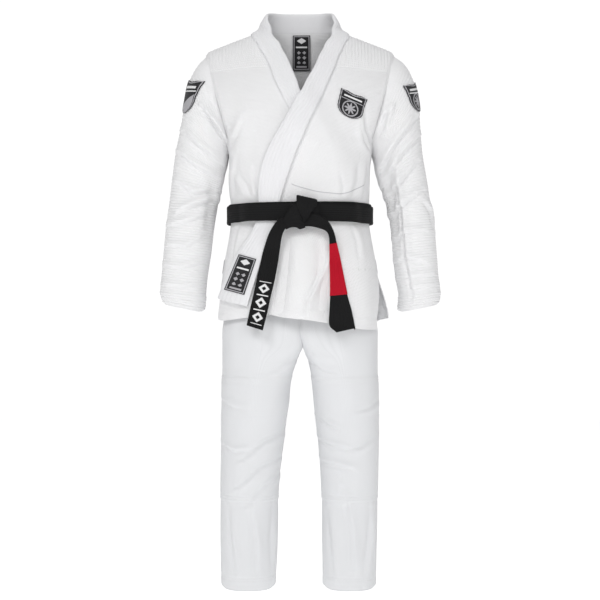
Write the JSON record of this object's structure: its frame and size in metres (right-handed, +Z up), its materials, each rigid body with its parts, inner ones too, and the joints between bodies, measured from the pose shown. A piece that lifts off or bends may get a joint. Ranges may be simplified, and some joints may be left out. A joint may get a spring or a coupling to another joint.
{
  "type": "martial_arts_uniform",
  "caption": "White jiu-jitsu uniform: wrap jacket with stiff lapel, black belt with red rank bar tied in front, reinforced trousers; sleeves, elbows, legs, knees and belt tails move.",
  "frame": {"origin": "midway between the wearer's shoulders, where the uniform hangs from the body", "axes": "+Z up along the body, -Y to the wearer's front, +X to the wearer's left"},
  "size_m": [0.7062, 0.323, 1.4378],
  "materials": {
    "cotton_white": "matte",
    "cotton_reinforced": "matte",
    "belt_black": "matte",
    "rank_red": "matte",
    "patch_black": "satin",
    "foam": "matte"
  },
  "bodies": {
    "jacket": {"jacket_back": "cotton_white", "jacket_front_left": "cotton_white", "jacket_front_right": "cotton_white", "lapel_left": "cotton_white", "lapel_right": "cotton_white", "collar_cover": "cotton_white", "collar_core": "foam", "sleeve_head_left": "cotton_white", "sleeve_head_right": "cotton_white", "shoulder_yoke_left": "cotton_reinforced", "shoulder_yoke_right": "cotton_reinforced", "armpit_gusset_left": "cotton_reinforced", "armpit_gusset_right": "cotton_reinforced", "side_vent_patch_left": "cotton_reinforced", "side_vent_patch_right": "cotton_reinforced", "neck_label": "patch_black", "chest_patch": "patch_black", "lapel_label": "patch_black", "belt_inner_wrap": "belt_black", "belt_outer_wrap": "belt_black", "belt_knot": "belt_black", "belt_knot_loop": "belt_black", "waistband_casing": "cotton_white", "trouser_seat_left": "cotton_white", "trouser_seat_right": "cotton_white", "drawcord_loop_left": "cotton_reinforced", "drawcord_loop_right": "cotton_reinforced", "crotch_gusset": "cotton_reinforced"},
    "upper_sleeve_left": {"sleeve_upper_left": "cotton_white", "shoulder_patch_left": "patch_black"},
    "lower_sleeve_left": {"sleeve_lower_left": "cotton_white", "cuff_tape_left": "cotton_reinforced"},
    "thigh_left": {"trouser_thigh_left": "cotton_white", "knee_panel_upper_left": "cotton_reinforced"},
    "shin_left": {"trouser_shin_left": "cotton_white", "knee_panel_lower_left": "cotton_reinforced", "leg_hem_tape_left": "cotton_reinforced"},
    "upper_sleeve_right": {"sleeve_upper_right": "cotton_white", "shoulder_patch_right": "patch_black"},
    "lower_sleeve_right": {"sleeve_lower_right": "cotton_white", "cuff_tape_right": "cotton_reinforced"},
    "thigh_right": {"trouser_thigh_right": "cotton_white", "knee_panel_upper_right": "cotton_reinforced"},
    "shin_right": {"trouser_shin_right": "cotton_white", "knee_panel_lower_right": "cotton_reinforced", "leg_hem_tape_right": "cotton_reinforced"},
    "tail_left": {"belt_tail_left": "belt_black", "belt_rank_bar": "rank_red"},
    "tail_right": {"belt_tail_right": "belt_black", "belt_tail_motif": "cotton_white"}
  },
  "joints": [
    {"name": "shoulder_left", "type": "hinge", "parent": "jacket", "child": "upper_sleeve_left", "pos_m": [0.222, 0.006, -0.068], "axis": [0, -1, 0], "range_deg": [0, 70]},
    {"name": "elbow_left", "type": "hinge", "parent": "upper_sleeve_left", "child": "lower_sleeve_left", "pos_m": [0.26318, 0.006, -0.38], "axis": [-1, 0, 0], "range_deg": [0, 58]},
    {"name": "hip_left", "type": "hinge", "parent": "jacket", "child": "thigh_left", "pos_m": [0.115, 0.004, -0.78], "axis": [-1, 0, 0], "range_deg": [-20, 45]},
    {"name": "knee_left", "type": "hinge", "parent": "thigh_left", "child": "shin_left", "pos_m": [0.12, 0.004, -1], "axis": [1, 0, 0], "range_deg": [0, 58]},
    {"name": "shoulder_right", "type": "hinge", "parent": "jacket", "child": "upper_sleeve_right", "pos_m": [-0.222, 0.006, -0.068], "axis": [0, 1, 0], "range_deg": [0, 70]},
    {"name": "elbow_right", "type": "hinge", "parent": "upper_sleeve_right", "child": "lower_sleeve_right", "pos_m": [-0.26318, 0.006, -0.38], "axis": [-1, 0, 0], "range_deg": [0, 58]},
    {"name": "hip_right", "type": "hinge", "parent": "jacket", "child": "thigh_right", "pos_m": [-0.115, 0.004, -0.78], "axis": [-1, 0, 0], "range_deg": [-20, 45]},
    {"name": "knee_right", "type": "hinge", "parent": "thigh_right", "child": "shin_right", "pos_m": [-0.12, 0.004, -1], "axis": [1, 0, 0], "range_deg": [0, 58]},
    {"name": "belt_tail_left", "type": "hinge", "parent": "jacket", "child": "tail_left", "pos_m": [0.07, -0.138, -0.4235], "axis": [-1, 0, 0], "range_deg": [0, 60]},
    {"name": "belt_tail_right", "type": "hinge", "parent": "jacket", "child": "tail_right", "pos_m": [-0.07, -0.138, -0.4235], "axis": [-1, 0, 0], "range_deg": [0, 60]}
  ]
}
